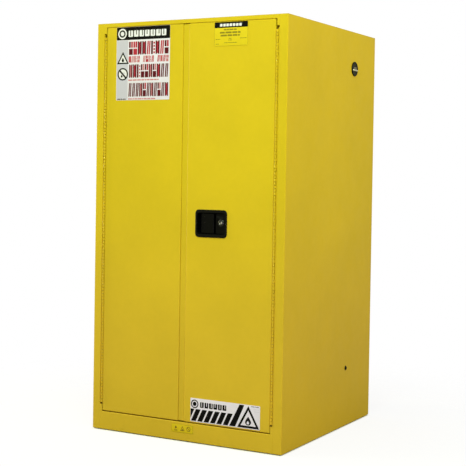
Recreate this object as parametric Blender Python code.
"""Flammable-liquid storage cabinet: a two-door, double-walled steel safety cabinet with two shelves, a leakproof sump,
piano-hinged doors, a flush paddle handle that works three latch points, two capped vents and four levelling feet.

Frame: origin on the floor under the middle of the cabinet, +Z up, the doors face -Y, +X to the right of someone facing them.
Units are metres. Sheet is 1.2 mm steel with a 38 mm air space between the two skins.
"""

import math

import bmesh
import bpy
from mathutils import Matrix, Vector

# ---------------------------------------------------------------- driving dimensions
WIDTH = 0.864                    # outer shell, side to side
DEPTH = 0.862                    # outer shell, front face to back face
BODY_Z0 = 0.004                  # underside of the shell, carried on the levelling feet
BODY_H = 1.651                   # shell height
T = 0.0012                       # sheet thickness
AIR = 0.038                      # air space between outer and inner skin
GAP = 0.0003                     # gap kept between touching pieces
KNUCKLE_R = 0.0042               # hinge barrel radius
HINGE_PROUD = 0.0012             # hinge axis in front of the door face

HALF_W = WIDTH / 2
TOP_Z = BODY_Z0 + BODY_H
F = -(DEPTH + HINGE_PROUD + KNUCKLE_R) / 2 + HINGE_PROUD + KNUCKLE_R   # y of the front face
B = F + DEPTH                                                         # y of the back face

STILE_X = 0.3942                 # inner edge of the stile
HINGE_X = 0.3885                 # hinge axis
DOOR_X = 0.3828                  # hinge-side edge of a door
EAR_X = 0.3866                   # rail ears beside the door, below and above the hinge
DOOR_D = 0.040                   # door thickness
DOOR_Z0, DOOR_Z1 = 0.0795, 1.6370
SILL_Z = 0.0755                  # top of the bottom rail's face
RAIL_Z = 1.6390                  # lower edge of the top rail's face
HINGE_Z0, HINGE_Z1 = 0.107, 1.604
KNUCKLES = 15
LEFT_EDGE_X = -0.0216            # free edge of the left door's face
LIP_X = 0.0015                   # end of the recessed lip
RIGHT_EDGE_X = 0.0025            # free edge of the right door's face
RIGHT_BOX_X = 0.0140             # free side of the right door's box
STOP_Y = F + 0.0428              # door stops
AXIS_Y = F - HINGE_PROUD

ROD_X, ROD_Y, ROD_R = 0.034, F + 0.0325, 0.004
HANDLE_CX, HANDLE_CZ = 0.1145, 0.860
HANDLE_W, HANDLE_H = 0.141, 0.108
PADDLE_X, PADDLE_Y = 0.1235, F + 0.008
LOCK_X, LOCK_Z = 0.156, 0.864

IN_X = HALF_W - T - AIR          # outer surface of the inner side walls
IN_BACK = B - T - AIR            # outer surface of the inner back wall
CEIL_Z = TOP_Z - T - AIR         # upper surface of the inner ceiling
SUMP_Z0, SUMP_Z1 = BODY_Z0 + T + AIR, BODY_Z0 + T + AIR + 0.051
SHELF_Z = (0.560, 1.090)
SHELF_H = 0.045
VENT_Y, VENT_Z_HIGH, VENT_Z_LOW = F + 0.636, 1.501, 0.155
SCREW_Y, SCREW_Z = F + 0.597, 0.246
FOOT_X, FOOT_IN = 0.345, 0.045

for old in list(bpy.data.objects):
    bpy.data.objects.remove(old, do_unlink=True)


# ---------------------------------------------------------------- materials
def material(name, colour, roughness, metallic=0.0):
    m = bpy.data.materials.new(name)
    m.use_nodes = True
    p = m.node_tree.nodes["Principled BSDF"]
    p.inputs["Base Color"].default_value = (*colour, 1.0)
    p.inputs["Roughness"].default_value = roughness
    p.inputs["Metallic"].default_value = metallic
    m.diffuse_color = (*colour, 1.0)
    return m


YELLOW = material("safety_yellow_paint", (0.72, 0.52, 0.02), 0.35)
INNER = material("inner_yellow_paint", (0.70, 0.50, 0.03), 0.42)
GALV = material("galvanised_sheet", (0.62, 0.64, 0.66), 0.38, 0.9)
ZINC = material("zinc_plated_steel", (0.68, 0.68, 0.66), 0.30, 1.0)
BLACK = material("black_housing", (0.012, 0.012, 0.013), 0.38)
CHROME = material("chrome_lock", (0.75, 0.75, 0.76), 0.12, 1.0)
LABEL = material("label_film", (0.82, 0.82, 0.80), 0.35)
LABEL_Y = material("data_label_film", (0.80, 0.62, 0.05), 0.35)
RUBBER = material("foot_rubber", (0.02, 0.02, 0.02), 0.8)


# ---------------------------------------------------------------- building helpers
def axis_empty(name, at, parent=None):
    e = bpy.data.objects.new(name, None)
    bpy.context.scene.collection.objects.link(e)
    e.location = at if parent is None else Vector(at) - parent.matrix_world.translation
    e.parent = parent
    e.empty_display_size = 0.05
    bpy.context.view_layer.update()
    return e


def make(name, bm, mat, parent=None, origin=None, smooth=False):
    """Turns a bmesh in world coordinates into an object whose origin is `origin` (its parent's origin if None)."""
    base = parent.matrix_world.translation if parent is not None else Vector((0, 0, 0))
    at = base if origin is None else Vector(origin)
    bmesh.ops.recalc_face_normals(bm, faces=bm.faces[:])
    if bm.calc_volume(signed=True) < 0:
        bmesh.ops.reverse_faces(bm, faces=bm.faces[:])
    bmesh.ops.translate(bm, verts=bm.verts[:], vec=-at)
    mesh = bpy.data.meshes.new(name)
    bm.to_mesh(mesh)
    bm.free()
    mesh.materials.append(mat)
    if smooth:
        mesh.shade_smooth()
        mesh.set_sharp_from_angle(angle=math.radians(35))
    obj = bpy.data.objects.new(name, mesh)
    bpy.context.scene.collection.objects.link(obj)
    obj.parent = parent
    obj.location = at - base
    return obj


def add_grid(bm, adds, cuts=()):
    """Union of the axis-aligned boxes in adds less those in cuts, as one skin with no inner faces."""
    boxes = list(adds) + list(cuts)
    lines = [sorted({round(c[k], 7) for b in boxes for c in b}) for k in range(3)]
    size = [len(x) - 1 for x in lines]

    def inside(c, b):
        return all(b[0][k] < c[k] < b[1][k] for k in range(3))

    full = {}
    for i in range(size[0]):
        for j in range(size[1]):
            for k in range(size[2]):
                c = [(lines[a][n] + lines[a][n + 1]) / 2 for a, n in enumerate((i, j, k))]
                full[i, j, k] = any(inside(c, b) for b in adds) and not any(inside(c, b) for b in cuts)
    verts = {}

    def vert(p):
        if p not in verts:
            verts[p] = bm.verts.new([lines[a][p[a]] for a in range(3)])
        return verts[p]

    for (i, j, k), solid in full.items():
        if not solid:
            continue
        for a in range(3):
            for side in (0, 1):
                n = [i, j, k]
                n[a] += 1 if side else -1
                if full.get(tuple(n), False):
                    continue
                u, v = (a + 1) % 3, (a + 2) % 3
                ring = []
                for du, dv in ((0, 0), (1, 0), (1, 1), (0, 1)):
                    p = [i, j, k]
                    p[a] += side
                    p[u] += du
                    p[v] += dv
                    ring.append(vert(tuple(p)))
                bm.faces.new(ring if side else ring[::-1])
    bmesh.ops.dissolve_limit(bm, angle_limit=math.radians(1), verts=bm.verts[:], edges=bm.edges[:], use_dissolve_boundaries=False)
    return bm


def grid(adds, cuts=()):
    return add_grid(bmesh.new(), adds, cuts)


def box(x0, x1, y0, y1, z0, z1):
    return ((min(x0, x1), min(y0, y1), min(z0, z1)), (max(x0, x1), max(y0, y1), max(z0, z1)))


def prism(points, axis, a, b):
    """A polygon extruded along an axis from a to b. Points are the two other coordinates, in X, Y, Z order."""
    bm = bmesh.new()
    rest = [k for k in range(3) if k != axis]

    def at(p, h):
        q = [0, 0, 0]
        q[axis] = h
        q[rest[0]], q[rest[1]] = p
        return q

    low = [bm.verts.new(at(p, a)) for p in points]
    face = bm.faces.new(low)
    top = bmesh.ops.extrude_face_region(bm, geom=[face])
    step = [0, 0, 0]
    step[axis] = b - a
    bmesh.ops.translate(bm, verts=[v for v in top["geom"] if isinstance(v, bmesh.types.BMVert)], vec=step)
    return bm


def lathe(profile, axis, centre, segments=32):
    """Turns an open profile of (radius, height) points, both ends on the axis, about an axis through centre."""
    bm = bmesh.new()
    rings = []
    for r, h in profile:
        if r < 1e-9:
            rings.append([bm.verts.new((0, 0, h))])
        else:
            rings.append([bm.verts.new((r * math.cos(2 * math.pi * n / segments), r * math.sin(2 * math.pi * n / segments), h)) for n in range(segments)])
    for lower, upper in zip(rings, rings[1:]):
        for n in range(segments):
            m = (n + 1) % segments
            if len(lower) == 1:
                bm.faces.new((lower[0], upper[m], upper[n]))
            elif len(upper) == 1:
                bm.faces.new((lower[n], lower[m], upper[0]))
            else:
                bm.faces.new((lower[n], lower[m], upper[m], upper[n]))
    turn_to(bm, axis, centre)
    return bm


def ring_lathe(profile, axis, centre, segments=32):
    """Turns a closed profile of (radius, height) points that stays off the axis: a ring or a bushing."""
    bm = bmesh.new()
    rings = [[bm.verts.new((r * math.cos(2 * math.pi * n / segments), r * math.sin(2 * math.pi * n / segments), h)) for n in range(segments)] for r, h in profile]
    for q, lower in enumerate(rings):
        upper = rings[(q + 1) % len(rings)]
        for n in range(segments):
            m = (n + 1) % segments
            bm.faces.new((lower[n], lower[m], upper[m], upper[n]))
    turn_to(bm, axis, centre)
    return bm


def turn_to(bm, axis, centre):
    """Heights along +Z are laid along the given axis, and the shape is moved to centre."""
    turn = Vector((0, 0, 1)).rotation_difference(Vector(axis)).to_matrix().to_4x4()
    bmesh.ops.transform(bm, matrix=Matrix.Translation(centre) @ turn, verts=bm.verts[:])


def rounded(cx, cz, w, h, r, steps=6):
    """Outline of a rounded rectangle in X and Z."""
    out = []
    for qx, qz, start in ((1, 1, 0), (-1, 1, 90), (-1, -1, 180), (1, -1, 270)):
        for n in range(steps + 1):
            a = math.radians(start + 90 * n / steps)
            out.append((cx + qx * (w / 2 - r) + r * math.cos(a), cz + qz * (h / 2 - r) + r * math.sin(a)))
    return out


def loft(sections):
    """Closed skin through outlines of equal point count, each (outline, y), capped at both ends."""
    bm = bmesh.new()
    loops = [[bm.verts.new((x, y, z)) for x, z in outline] for outline, y in sections]
    for a, b in zip(loops, loops[1:]):
        for n in range(len(a)):
            m = (n + 1) % len(a)
            bm.faces.new((a[n], a[m], b[m], b[n]))
    bm.faces.new(loops[0][::-1])
    bm.faces.new(loops[-1])
    return bm


def cutter(name, bm, parent=None):
    c = make(name, bm, ZINC, parent)
    c.hide_render = True
    c.display_type = "WIRE"
    return c


def boolean(obj, other, operation="DIFFERENCE"):
    m = obj.modifiers.new(other.name, "BOOLEAN")
    m.operation = operation
    m.solver = "EXACT"
    m.object = other
    return obj


def rod(x, y, z0, z1, r, segments=24):
    return lathe([(0, z0), (r, z0), (r, z1), (0, z1)], (0, 0, 1), (x, y, 0), segments)


# ---------------------------------------------------------------- outer shell
def side_panel(s, name):
    """Side sheet with its front edge folded into the stile and on into the door jamb."""
    end = B - T - GAP
    pts = [(s * HALF_W, F), (s * HALF_W, end), (s * (HALF_W - T), end), (s * (HALF_W - T), F + T), (s * (STILE_X + T), F + T),
           (s * (STILE_X + T), F + 0.036), (s * STILE_X, F + 0.036), (s * STILE_X, F)]
    return make(name, prism(pts, 2, BODY_Z0, TOP_Z - T - GAP), YELLOW)


left_side = side_panel(-1, "left_side_panel")
right_side = side_panel(1, "right_side_panel")
make("back_panel", grid([box(-HALF_W, HALF_W, B - T, B, BODY_Z0, TOP_Z - T - GAP)]), YELLOW)
top_lip = HALF_W - T - 0.0006
make("top_panel", grid([
    box(-HALF_W, HALF_W, F, B, TOP_Z - T, TOP_Z),
    box(-top_lip, -top_lip + T, F + 0.050, B - 0.010, TOP_Z - 0.014, TOP_Z - T / 2),
    box(top_lip - T, top_lip, F + 0.050, B - 0.010, TOP_Z - 0.014, TOP_Z - T / 2),
]), YELLOW)
make("base_panel", grid([
    box(-HALF_W + T + GAP, HALF_W - T - GAP, F + 0.0365, B - T - GAP, BODY_Z0, BODY_Z0 + T),
    box(-STILE_X + GAP, STILE_X - GAP, F + T + GAP, F + 0.0375, BODY_Z0, BODY_Z0 + T),
    box(STILE_X + T + GAP, HALF_W - T - GAP, F + T + GAP, F + 0.0375, BODY_Z0, BODY_Z0 + T),
    box(-STILE_X - T - GAP, -HALF_W + T + GAP, F + T + GAP, F + 0.0375, BODY_Z0, BODY_Z0 + T)]), YELLOW)

RAIL_X = STILE_X - GAP
STRIKE = box(ROD_X - 0.006, ROD_X + 0.006, ROD_Y - 0.006, ROD_Y + 0.006, 0, 2)
make("top_front_rail", grid([
    box(-RAIL_X, RAIL_X, F, F + T, RAIL_Z, TOP_Z - T - GAP),
    box(-RAIL_X, -EAR_X, F, F + T, HINGE_Z1 + 0.009, RAIL_Z),
    box(EAR_X, RAIL_X, F, F + T, HINGE_Z1 + 0.009, RAIL_Z),
    box(-RAIL_X, RAIL_X, F, STOP_Y - GAP, RAIL_Z, RAIL_Z + T),
    box(-0.3752, 0.3752, STOP_Y - 0.001, STOP_Y + T, RAIL_Z, RAIL_Z + T),
    box(-0.3752, 0.3752, STOP_Y, STOP_Y + T, CEIL_Z + 0.0006, RAIL_Z + T),
], [STRIKE]), YELLOW)
make("bottom_front_rail", grid([
    box(-RAIL_X, RAIL_X, F, F + T, BODY_Z0, SILL_Z),
    box(-RAIL_X, -EAR_X, F, F + T, SILL_Z - 0.001, HINGE_Z0 - 0.002),
    box(EAR_X, RAIL_X, F, F + T, SILL_Z - 0.001, HINGE_Z0 - 0.002),
    box(-RAIL_X, RAIL_X, F, STOP_Y - GAP, SILL_Z - T, SILL_Z),
    box(-0.3752, 0.3752, STOP_Y - 0.001, STOP_Y + T, SILL_Z - T, SILL_Z),
    box(-0.3752, 0.3752, STOP_Y, STOP_Y + T, SILL_Z - T, SILL_Z + 0.0205),
], [STRIKE]), YELLOW)
for which, z in (("upper_strike", RAIL_Z + T + GAP), ("lower_strike", SILL_Z - T - GAP - 0.002)):
    make(which, grid([box(ROD_X - 0.018, ROD_X + 0.018, F + T + 0.012, STOP_Y - 0.001, z, z + 0.002)],
                     [box(ROD_X - 0.0055, ROD_X + 0.0055, ROD_Y - 0.0055, ROD_Y + 0.0055, 0, 2)]), ZINC)

# ---------------------------------------------------------------- inner liner, sump, shelves
def inner_wall(s, name):
    """Inner side wall with its front edge folded into a door stop."""
    end = IN_BACK - T - GAP
    pts = [(s * 0.3755, STOP_Y), (s * IN_X, STOP_Y), (s * IN_X, end), (s * (IN_X - T), end), (s * (IN_X - T), STOP_Y + T), (s * 0.3755, STOP_Y + T)]
    return make(name, prism(pts, 2, SUMP_Z0, CEIL_Z - T - GAP), INNER)


inner_left = inner_wall(-1, "inner_left_wall")
inner_right = inner_wall(1, "inner_right_wall")
make("inner_back_wall", grid([box(-IN_X, IN_X, IN_BACK - T, IN_BACK, SUMP_Z0, CEIL_Z - T - GAP)]), INNER)
make("inner_ceiling", grid([box(-IN_X, IN_X, STOP_Y, IN_BACK, CEIL_Z - T, CEIL_Z)]), INNER)
sx, sy0, sy1 = IN_X - T - GAP, STOP_Y + T + GAP, IN_BACK - T - GAP
make("sump_pan", grid([box(-sx, sx, sy0, sy1, SUMP_Z0, SUMP_Z1)], [box(-sx + T, sx - T, sy0 + T, sy1 - T, SUMP_Z0 + T, 1)]), INNER)

STD_IN = 0.3800                  # inner face of the shelf standards
for s, side in ((-1, "left"), (1, "right")):
    for y, place in ((F + 0.150, "front"), (B - 0.160, "rear")):
        w, e = 0.014, IN_X - T - GAP
        pts = [(s * STD_IN, y - w), (s * STD_IN, y + w), (s * e, y + w), (s * e, y + w - T), (s * (STD_IN + T), y + w - T),
               (s * (STD_IN + T), y - w + T), (s * e, y - w + T), (s * e, y - w)]
        make(f"shelf_standard_{place}_{side}", prism(pts, 2, SUMP_Z1 + 0.006, CEIL_Z - 0.020), GALV)
for z, level in ((SHELF_Z[0], "lower"), (SHELF_Z[1], "upper")):
    for s, side in ((-1, "left"), (1, "right")):
        x = STD_IN - GAP
        make(f"{level}_shelf_bracket_{side}", grid([
            box(s * 0.352, s * x, F + 0.080, B - 0.090, z - GAP - 0.0015, z - GAP),
            box(s * (x - 0.0015), s * x, F + 0.080, B - 0.090, z - 0.012, z + 0.030)]), ZINC)
    at = axis_empty(f"{level}_shelf_axis", (0, 0, z))
    hx, y0, y1 = STD_IN - GAP - 0.0015 - 0.0005, F + 0.052, B - 0.050
    make(f"{level}_shelf", grid([box(-hx, hx, y0, y1, z, z + SHELF_H)],
                                [box(-hx + T, hx - T, y0 + T, y1 - T, z + T, 2)]), GALV, at)


# ---------------------------------------------------------------- hinges
def leaf(s, toward):
    """Outline of one hinge leaf with its rolled knuckle. s is the cabinet side, toward is +1 for the frame leaf and -1 for the door leaf."""
    def p(x, y):
        return (s * (HINGE_X + toward * x), AXIS_Y + y)

    outer, inner, slit = KNUCKLE_R, 0.00175, 318
    pts = [p(0.0054, 0.0252), p(0.0054, 0.0002)]
    pts += [p(outer * math.cos(math.radians(a)), -outer * math.sin(math.radians(a))) for a in [12 + n * (slit - 12) / 13 for n in range(14)]]
    pts += [p(inner * math.cos(math.radians(a)), -inner * math.sin(math.radians(a))) for a in [slit - n * (slit + 20) / 12 for n in range(13)]]
    pts += [p(0.0036, 0.0016), p(0.0036, 0.0252)]
    return pts


PITCH = (HINGE_Z1 - HINGE_Z0) / KNUCKLES


def knuckle_gaps(s, odd):
    """Boxes that clear the barrel where the other leaf's knuckles sit."""
    clear = 0.0002
    return [box(s * (HINGE_X - 0.007), s * (HINGE_X + 0.007), AXIS_Y - 0.007, AXIS_Y + 0.0047,
                HINGE_Z0 + PITCH * n - clear - (0.01 if n == 0 else 0), HINGE_Z0 + PITCH * (n + 1) + clear + (0.01 if n == KNUCKLES - 1 else 0))
            for n in range(KNUCKLES) if n % 2 == odd]


def boxes(bm, several):
    for lo, hi in several:
        geom = bmesh.ops.create_cube(bm, size=1)
        bmesh.ops.scale(bm, verts=geom["verts"], vec=Vector(hi) - Vector(lo))
        bmesh.ops.translate(bm, verts=geom["verts"], vec=(Vector(hi) + Vector(lo)) / 2)
    return bm


left_door = axis_empty("left_door_axis", (-HINGE_X, AXIS_Y, 0))
right_door = axis_empty("right_door_axis", (HINGE_X, AXIS_Y, 0))
for s, side, door in ((-1, "left", left_door), (1, "right", right_door)):
    frame_leaf = make(f"{side}_hinge_frame_leaf", prism(leaf(s, 1), 2, HINGE_Z0, HINGE_Z1), ZINC, None, (s * HINGE_X, AXIS_Y, 0))
    boolean(frame_leaf, cutter(f"cut_{side}_frame_leaf", boxes(bmesh.new(), knuckle_gaps(s, 1))))
    door_leaf = make(f"{side}_hinge_door_leaf", prism(leaf(s, -1), 2, HINGE_Z0, HINGE_Z1), ZINC, door)
    boolean(door_leaf, cutter(f"cut_{side}_door_leaf", boxes(bmesh.new(), knuckle_gaps(s, 0))))
    make(f"{side}_hinge_pin", rod(s * HINGE_X, AXIS_Y, HINGE_Z0 + 0.001, HINGE_Z1 - 0.001, 0.0015, 16), ZINC, None, (s * HINGE_X, AXIS_Y, 0), True)

# ---------------------------------------------------------------- left door
SKIN_D = DOOR_D - T - GAP
LX0, LX1 = -DOOR_X, LEFT_EDGE_X
make("left_door_skin", grid([box(LX0, LX1, F, F + SKIN_D, DOOR_Z0, DOOR_Z1)],
                            [box(LX0 + T, LX1 - T, F + T, 1, DOOR_Z0 + T, DOOR_Z1 - T)]), YELLOW, left_door)


def inner_pan(name, x0, x1, parent):
    """Back sheet of a door: lies on the skin's edges, with a turned-in flange just inside them."""
    y0, y1, i = F + SKIN_D + GAP, F + DOOR_D, T + GAP
    return make(name, grid([
        box(x0, x1, y0, y1, DOOR_Z0, DOOR_Z1),
        box(x0 + i, x1 - i, y0 - 0.0018, y0 + T / 2, DOOR_Z0 + i, DOOR_Z1 - i)],
        [box(x0 + i + T, x1 - i - T, 0 - 1, y0, DOOR_Z0 + i + T, DOOR_Z1 - i - T)]), INNER, parent)


inner_pan("left_door_inner_pan", LX0, LX1, left_door)
lip_pts = [(LX1 + GAP, F + 0.0030), (LIP_X, F + 0.0030), (LIP_X, F + 0.0030 + T), (LX1 + GAP + T, F + 0.0030 + T),
           (LX1 + GAP + T, F + 0.030), (LX1 + GAP, F + 0.030)]
make("left_door_lip_strip", prism(lip_pts, 2, DOOR_Z0 + 0.002, DOOR_Z1 - 0.002), YELLOW, left_door)
make("left_door_catch", grid([box(LX1 + GAP + T + GAP, LX1 + GAP + T + GAP + 0.0025, F + 0.010, F + 0.028, HANDLE_CZ - 0.045, HANDLE_CZ + 0.045)],
                             [box(-1, 1, F + 0.0150, F + 0.0230, HANDLE_CZ - 0.012, HANDLE_CZ + 0.012)]), ZINC, left_door)

# ---------------------------------------------------------------- right door
RX0, RX1 = RIGHT_BOX_X, DOOR_X
HX0, HX1 = HANDLE_CX - 0.0640, HANDLE_CX + 0.0655
HZ0, HZ1 = HANDLE_CZ - 0.0435, HANDLE_CZ + 0.0445
make("right_door_skin", grid([
    box(RX0, RX1, F, F + SKIN_D, DOOR_Z0, DOOR_Z1),
    box(RIGHT_EDGE_X, RX0 + T, F, F + T, DOOR_Z0, DOOR_Z1),
    box(RIGHT_EDGE_X, RIGHT_EDGE_X + T, F, F + 0.0035, DOOR_Z0, DOOR_Z1)],
    [box(RX0 + T, RX1 - T, F + T, 1, DOOR_Z0 + T, DOOR_Z1 - T),
     box(HX0, HX1, -1, F + T / 2 + T, HZ0, HZ1),
     box(ROD_X - 0.005, ROD_X + 0.005, ROD_Y - 0.005, ROD_Y + 0.005, 0, 0.5),
     box(ROD_X - 0.005, ROD_X + 0.005, ROD_Y - 0.005, ROD_Y + 0.005, 1.2, 2),
     box(0, RX0 + 2 * T, F + 0.0270, F + 0.0350, HANDLE_CZ - 0.006, HANDLE_CZ + 0.006)]), YELLOW, right_door)
inner_pan("right_door_inner_pan", RX0, RX1, right_door)

bez, body = rounded(HANDLE_CX, HANDLE_CZ, HANDLE_W, HANDLE_H, 0.015), rounded(HANDLE_CX + 0.00075, HANDLE_CZ + 0.0005, 0.128, 0.086, 0.009)
mouth, floor = rounded(HANDLE_CX + 0.00075, HANDLE_CZ + 0.0005, 0.124, 0.082, 0.008), rounded(HANDLE_CX + 0.00075, HANDLE_CZ + 0.0005, 0.123, 0.081, 0.008)
make("handle_housing", loft([(body, F + 0.0260), (body, F - GAP), (bez, F - GAP), (bez, F - 0.0030), (mouth, F - 0.0035), (floor, F + 0.0240)]), BLACK, right_door, None, True)

pad = rounded(0.1541, HANDLE_CZ + 0.0005, 0.0442, 0.080, 0.0085)
lock = make("lock_block", loft([(pad, F + 0.0237), (pad, F + 0.0050)]), BLACK, right_door)
boolean(lock, cutter("cut_lock", lathe([(0, F - 0.01), (0.0108, F - 0.01), (0.0108, F + 0.05), (0, F + 0.05)], (0, 1, 0), (LOCK_X, 0, LOCK_Z), 32), right_door))
key_axis = axis_empty("key_cylinder_axis", (LOCK_X, F, LOCK_Z), right_door)
key = make("key_cylinder", lathe([(0, F + 0.0235), (0.0102, F + 0.0235), (0.0102, F + 0.0012), (0.0094, F + 0.0004), (0, F + 0.0004)], (0, 1, 0), (LOCK_X, 0, LOCK_Z), 32), CHROME, key_axis, None, True)
boolean(key, cutter("cut_keyway", grid([box(LOCK_X - 0.0009, LOCK_X + 0.0009, F - 0.01, F + 0.008, LOCK_Z - 0.005, LOCK_Z + 0.005)]), key_axis))

paddle_axis = axis_empty("paddle_axis", (PADDLE_X, PADDLE_Y, HANDLE_CZ), right_door)
pp = [(0.0680, F + 0.0035), (0.0740, F + 0.0022), (0.0850, F + 0.0014), (0.1000, F + 0.0010), (0.1235, F + 0.0010), (0.1255, F + 0.0024),
      (0.1258, F + 0.0080)]
pp += [(PADDLE_X + 0.0023 * math.cos(math.radians(a)), PADDLE_Y + 0.0023 * math.sin(math.radians(a))) for a in (10, 40, 70, 100, 130, 160)]
pp += [(0.1200, F + 0.0066), (0.0760, F + 0.0066), (0.0730, F + 0.0100), (0.0700, F + 0.0100), (0.0680, F + 0.0080)]
make("handle_paddle", prism(pp, 2, HANDLE_CZ - 0.0385, HANDLE_CZ + 0.0395), BLACK, paddle_axis, None, True)

y0, y1 = F + 0.0268, F + SKIN_D - 0.0002
make("latch_case", grid([box(0.0220, 0.1650, y0, y1, 0.800, 0.920)],
                        [box(0.0220 + T, 0.1650 - T, -1, y1 - T, 0.800 + T, 0.920 - T),
                         box(ROD_X - 0.0055, ROD_X + 0.0055, ROD_Y - 0.0050, y1 - T, 0.7, 1.0),
                         box(0, 0.0220 + 2 * T, F + 0.0270, F + 0.0360, 0.853, 0.867)]), ZINC, right_door)


def latch_rod(name, z_in, z_out):
    """Latch rod with a rounded bullet tip at its outer end."""
    d = 1 if z_out > z_in else -1
    at = axis_empty(name + "_axis", (ROD_X, ROD_Y, z_in), right_door)
    prof = [(0, 0), (ROD_R, 0), (ROD_R, abs(z_out - z_in) - 0.009), (0.0032, abs(z_out - z_in) - 0.004), (0.0017, abs(z_out - z_in) - 0.001), (0, abs(z_out - z_in))]
    return make(name, lathe(prof, (0, 0, d), (ROD_X, ROD_Y, z_in), 16), ZINC, at, None, True)


latch_rod("upper_latch_rod", 0.885, DOOR_Z1 + 0.0006)
latch_rod("lower_latch_rod", 0.835, DOOR_Z0 - 0.0006)
bolt_axis = axis_empty("centre_bolt_axis", (0.0145, F + 0.0312, HANDLE_CZ), right_door)
make("centre_latch_bolt", grid([box(0.0145, 0.060, F + 0.0285, F + 0.0340, HANDLE_CZ - 0.0045, HANDLE_CZ + 0.0045),
                                box(0.052, 0.060, F + 0.0285, F + 0.0340, HANDLE_CZ - 0.010, HANDLE_CZ + 0.010)]), ZINC, bolt_axis)
cam_axis = axis_empty("latch_cam_axis", (0.098, F + 0.0357, HANDLE_CZ), right_door)
make("latch_cam", lathe([(0, F + 0.0348), (0.018, F + 0.0348), (0.018, F + 0.0364), (0, F + 0.0364)], (0, 1, 0), (0.098, 0, HANDLE_CZ), 24), ZINC, cam_axis, None, True)

# ---------------------------------------------------------------- labels
def label(name, x0, x1, z0, z1, mat, parent=None):
    return make(name, prism(rounded((x0 + x1) / 2, (z0 + z1) / 2, x1 - x0, z1 - z0, 0.003, 2), 1, F - GAP - 0.0003, F - GAP), mat, parent)


label("hazard_label", -0.3375, -0.0840, 1.346, 1.637 - 0.002, LABEL, left_door)
label("data_label", 0.117, 0.263, 1.543, 1.634, LABEL_Y, right_door)
label("stripe_label", 0.034, 0.341, 0.085, 0.177, LABEL, right_door)
label("sill_sticker", -0.052, 0.047, 0.034, 0.067, LABEL_Y)

# ---------------------------------------------------------------- vents
for s, panel, wall, z, place in ((1, right_side, inner_right, VENT_Z_HIGH, "upper"), (-1, left_side, inner_left, VENT_Z_LOW, "lower")):
    at = (0, VENT_Y, z)
    hole = cutter(f"cut_{place}_vent", lathe([(0, 0.30), (0.0255, 0.30), (0.0255, 0.50), (0, 0.50)], (s, 0, 0), at, 32))
    boolean(panel, hole)
    boolean(wall, hole)
    make(f"{place}_vent_bushing", ring_lathe([(0.0222, 0.3900), (0.0250, 0.3900), (0.0250, HALF_W + GAP), (0.0310, HALF_W + GAP), (0.0310, HALF_W + 0.0014), (0.0222, HALF_W + 0.0014)], (s, 0, 0), at), BLACK, None, at, True)
    make(f"{place}_vent_screen", lathe([(0, 0.3930), (0.0219, 0.3930), (0.0219, 0.3945), (0, 0.3945)], (s, 0, 0), at), GALV, None, at, True)
    cap_axis = axis_empty(f"{place}_vent_cap_axis", (s * HALF_W, VENT_Y, z))
    cap = make(f"{place}_vent_cap", lathe([(0, 0.416), (0.0200, 0.416), (0.0205, HALF_W + 0.0017), (0.0295, HALF_W + 0.0017), (0.0298, HALF_W + 0.0036), (0.0285, HALF_W + 0.0044), (0, HALF_W + 0.0044)], (s, 0, 0), at), BLACK, cap_axis, None, True)
    boolean(cap, cutter(f"join_{place}_bar", grid([box(s * (HALF_W + 0.0030), s * (HALF_W + 0.0080), VENT_Y - 0.0255, VENT_Y + 0.0255, z - 0.0055, z + 0.0055)]), cap_axis), "UNION")

boolean(right_side, cutter("cut_ground_screw", lathe([(0, 0.42), (0.0036, 0.42), (0.0036, 0.50), (0, 0.50)], (1, 0, 0), (0, SCREW_Y, SCREW_Z), 16)))
make("ground_screw", lathe([(0, HALF_W - 0.014), (0.0030, HALF_W - 0.014), (0.0030, HALF_W + GAP), (0.0095, HALF_W + GAP), (0.0095, HALF_W + 0.0015), (0.0078, HALF_W + 0.0045), (0, HALF_W + 0.0045)],
                           (1, 0, 0), (0, SCREW_Y, SCREW_Z), 24), ZINC, None, (0, SCREW_Y, SCREW_Z), True)

# ---------------------------------------------------------------- levelling feet
base = bpy.data.objects["base_panel"]
for s, side in ((-1, "left"), (1, "right")):
    for y, place in ((F + FOOT_IN, "front"), (B - FOOT_IN, "rear")):
        x = s * FOOT_X
        boolean(base, cutter(f"cut_foot_{place}_{side}", rod(x, y, 0.0, 0.02, 0.0075, 16)))
        at = axis_empty(f"foot_axis_{place}_{side}", (x, y, 0))
        make(f"levelling_foot_{place}_{side}", lathe([(0, 0), (0.0185, 0), (0.0190, 0.0008), (0.0190, 0.0028), (0.0060, 0.0034), (0.0060, 0.034), (0, 0.034)], (0, 0, 1), (x, y, 0), 24), RUBBER, at, None, True)
